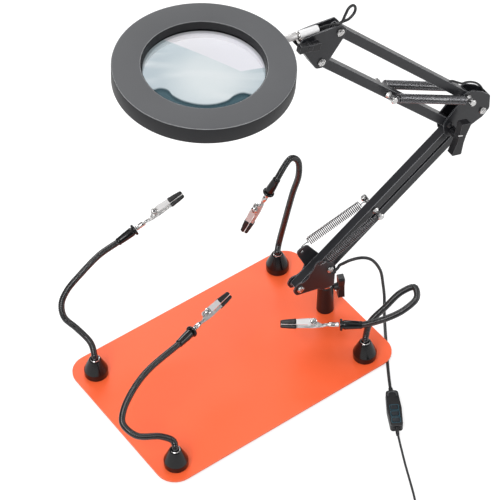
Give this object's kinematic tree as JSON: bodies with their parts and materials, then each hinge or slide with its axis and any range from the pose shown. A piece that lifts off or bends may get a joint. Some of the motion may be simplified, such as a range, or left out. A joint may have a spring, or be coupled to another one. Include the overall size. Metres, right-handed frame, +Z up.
{
  "type": "helping hands magnifier",
  "caption": "Ring-light magnifier on a sprung swing arm over a steel work plate, with magnet-footed flexible arms carrying spring clips and an inline lamp controller.",
  "frame": {"origin": "middle of the front left foot's underside, on the plane all the feet stand on", "axes": "+Z up, +X along the plate's long side towards the post, +Y towards the plate's rear long side"},
  "size_m": [0.4893, 0.419, 0.4352],
  "materials": {
    "orange_paint": "satin powder coat",
    "black_paint": "satin",
    "black_plastic": "moulded",
    "grey_plastic": "fine texture",
    "black_rubber": "matte",
    "bright_steel": "nickel plate",
    "spring_steel": "black oxide",
    "diffuser": "frosted",
    "board": "white solder mask",
    "lens_glass": "polished",
    "blue_button": "soft touch"
  },
  "bodies": {
    "base": {"base_plate": "orange_paint", "foot_fl": "black_rubber", "foot_fr": "black_rubber", "foot_br": "black_rubber", "foot_bl": "black_rubber", "post_socket": "black_plastic", "post_screw": "bright_steel", "lamp_cable": "black_rubber", "tail_cable": "black_rubber", "controller_lower_shell": "black_plastic", "controller_upper_shell": "black_plastic"},
    "thumb_screw": {"post_thumb_screw": "black_plastic"},
    "swivel": {"yoke": "black_paint", "yoke_spigot": "bright_steel", "yoke_screw_front": "bright_steel", "yoke_screw_rear": "bright_steel", "lower_spring_near": "spring_steel", "lower_spring_far": "spring_steel"},
    "lower_arm": {"lower_bar_front": "black_paint", "lower_spring_pin": "bright_steel"},
    "lower_link": {"lower_bar_rear": "black_paint"},
    "elbow": {"elbow_bracket": "black_paint", "elbow_screw_rear": "bright_steel", "elbow_screw_inner": "bright_steel", "elbow_spring_bolt": "bright_steel", "upper_spring_near": "spring_steel", "upper_spring_far": "spring_steel"},
    "elbow_knob": {"elbow_wing_knob": "black_plastic"},
    "upper_arm": {"upper_bar_inner": "black_paint", "upper_spring_pin": "bright_steel"},
    "upper_link": {"upper_bar_outer": "black_paint"},
    "head_carrier": {"head_bracket": "black_paint", "head_screw_upper": "bright_steel", "head_screw_lower": "bright_steel"},
    "head_knob": {"head_wing_knob": "black_plastic"},
    "tilt": {"tilt_block": "bright_steel"},
    "head": {"stem_rod": "bright_steel", "ring_housing": "grey_plastic", "ring_cover": "diffuser", "led_board": "board", "lens": "lens_glass"},
    "button_1": {"button_1": "blue_button"},
    "button_2": {"button_2": "blue_button"},
    "button_3": {"button_3": "blue_button"},
    "arm_fl": {"magnet_foot_fl": "black_plastic", "gooseneck_fl": "black_rubber", "clip_body_fl": "bright_steel"},
    "jaw_fl": {"clip_jaw_fl": "bright_steel"},
    "arm_bl": {"magnet_foot_bl": "black_plastic", "gooseneck_bl": "black_rubber", "clip_body_bl": "bright_steel"},
    "jaw_bl": {"clip_jaw_bl": "bright_steel"},
    "arm_br": {"magnet_foot_br": "black_plastic", "gooseneck_br": "black_rubber", "clip_body_br": "bright_steel"},
    "jaw_br": {"clip_jaw_br": "bright_steel"},
    "arm_fr": {"magnet_foot_fr": "black_plastic", "gooseneck_fr": "black_rubber", "clip_body_fr": "bright_steel"},
    "jaw_fr": {"clip_jaw_fr": "bright_steel"}
  },
  "joints": [
    {"name": "post_thumb_screw_turn", "type": "hinge", "parent": "base", "child": "thumb_screw", "pos_m": [0.26962, 0.07349, 0.039], "axis": [0.9135, -0.4067, 0], "range_deg": [-180, 180]},
    {"name": "arm_swivel", "type": "hinge", "parent": "base", "child": "swivel", "pos_m": [0.255, 0.08, 0.0457], "axis": [0, 0, 1], "range_deg": [-60, 60]},
    {"name": "lower_arm_lift", "type": "hinge", "parent": "swivel", "child": "lower_arm", "pos_m": [0.21844, 0.0832, 0.0654], "axis": [-0.0872, -0.9962, 0], "range_deg": [-5, 45], "deforming": ["lower_spring_near", "lower_spring_far"]},
    {"name": "lower_link_swing", "type": "hinge", "parent": "swivel", "child": "lower_link", "pos_m": [0.2557, 0.07994, 0.0757], "axis": [-0.0872, -0.9962, 0], "range_deg": [-5, 45]},
    {"name": "elbow_level", "type": "hinge", "parent": "lower_arm", "child": "elbow", "pos_m": [0.40508, 0.06687, 0.2055], "axis": [-0.0872, -0.9962, 0], "range_deg": [-45, 5]},
    {"name": "elbow_knob_turn", "type": "hinge", "parent": "elbow", "child": "elbow_knob", "pos_m": [0.40508, 0.06687, 0.2055], "axis": [-0.0872, -0.9962, 0], "range_deg": [-180, 180]},
    {"name": "upper_arm_lift", "type": "hinge", "parent": "elbow", "child": "upper_arm", "pos_m": [0.40054, 0.06727, 0.2158], "axis": [-0.0872, -0.9962, 0], "range_deg": [-30, 35], "deforming": ["upper_spring_near", "upper_spring_far"]},
    {"name": "upper_link_swing", "type": "hinge", "parent": "elbow", "child": "upper_link", "pos_m": [0.42136, 0.06545, 0.244], "axis": [-0.0872, -0.9962, 0], "range_deg": [-30, 35]},
    {"name": "head_level", "type": "hinge", "parent": "upper_arm", "child": "head_carrier", "pos_m": [0.24075, 0.08125, 0.3784], "axis": [-0.0872, -0.9962, 0], "range_deg": [-35, 30]},
    {"name": "head_knob_turn", "type": "hinge", "parent": "head_carrier", "child": "head_knob", "pos_m": [0.22312, 0.08279, 0.409], "axis": [-0.0872, -0.9962, 0], "range_deg": [-180, 180]},
    {"name": "head_tilt", "type": "hinge", "parent": "head_carrier", "child": "tilt", "pos_m": [0.22312, 0.08279, 0.409], "axis": [-0.0872, -0.9962, 0], "range_deg": [-45, 45]},
    {"name": "head_roll", "type": "hinge", "parent": "tilt", "child": "head", "pos_m": [0.20275, 0.08457, 0.4187], "axis": [0.9923, -0.0868, -0.0881], "range_deg": [-90, 90]},
    {"name": "button_1_press", "type": "slide", "parent": "base", "child": "button_1", "axis": [0, 0, -1], "range_m": [0, 0.0008], "stiffness_N_per_m": 150},
    {"name": "button_2_press", "type": "slide", "parent": "base", "child": "button_2", "axis": [0, 0, -1], "range_m": [0, 0.0008], "stiffness_N_per_m": 150},
    {"name": "button_3_press", "type": "slide", "parent": "base", "child": "button_3", "axis": [0, 0, -1], "range_m": [0, 0.0008], "stiffness_N_per_m": 150},
    {"name": "magnet_fl_lift", "type": "slide", "parent": "base", "child": "arm_fl", "axis": [0, 0, 1], "range_m": [0, 0.025]},
    {"name": "clip_fl_open", "type": "hinge", "parent": "arm_fl", "child": "jaw_fl", "pos_m": [0.10842, 0.09399, 0.08536], "axis": [0.1759, -0.474, 0.8628], "range_deg": [0, 20], "stiffness_Nm_per_rad": 0.05},
    {"name": "magnet_bl_lift", "type": "slide", "parent": "base", "child": "arm_bl", "axis": [0, 0, 1], "range_m": [0, 0.025]},
    {"name": "clip_bl_open", "type": "hinge", "parent": "arm_bl", "child": "jaw_bl", "pos_m": [0.12636, 0.21402, 0.12745], "axis": [-0.2951, -0.5686, 0.7679], "range_deg": [0, 20], "stiffness_Nm_per_rad": 0.05},
    {"name": "magnet_br_lift", "type": "slide", "parent": "base", "child": "arm_br", "axis": [0, 0, 1], "range_m": [0, 0.025]},
    {"name": "clip_br_open", "type": "hinge", "parent": "arm_br", "child": "jaw_br", "pos_m": [0.2207, 0.16108, 0.11789], "axis": [0.8271, 0.5381, -0.1622], "range_deg": [0, 20], "stiffness_Nm_per_rad": 0.05},
    {"name": "magnet_fr_lift", "type": "slide", "parent": "base", "child": "arm_fr", "axis": [0, 0, 1], "range_m": [0, 0.025]},
    {"name": "clip_fr_open", "type": "hinge", "parent": "arm_fr", "child": "jaw_fr", "pos_m": [0.20433, 0.03452, 0.06085], "axis": [0.4082, 0.5478, -0.7303], "range_deg": [0, 20], "stiffness_Nm_per_rad": 0.05}
  ],
  "couplings": [
    {"joint": "lower_link_swing", "follows": "lower_arm_lift", "ratio": 1},
    {"joint": "elbow_level", "follows": "lower_arm_lift", "ratio": -1},
    {"joint": "upper_link_swing", "follows": "upper_arm_lift", "ratio": 1},
    {"joint": "head_level", "follows": "upper_arm_lift", "ratio": -1}
  ]
}
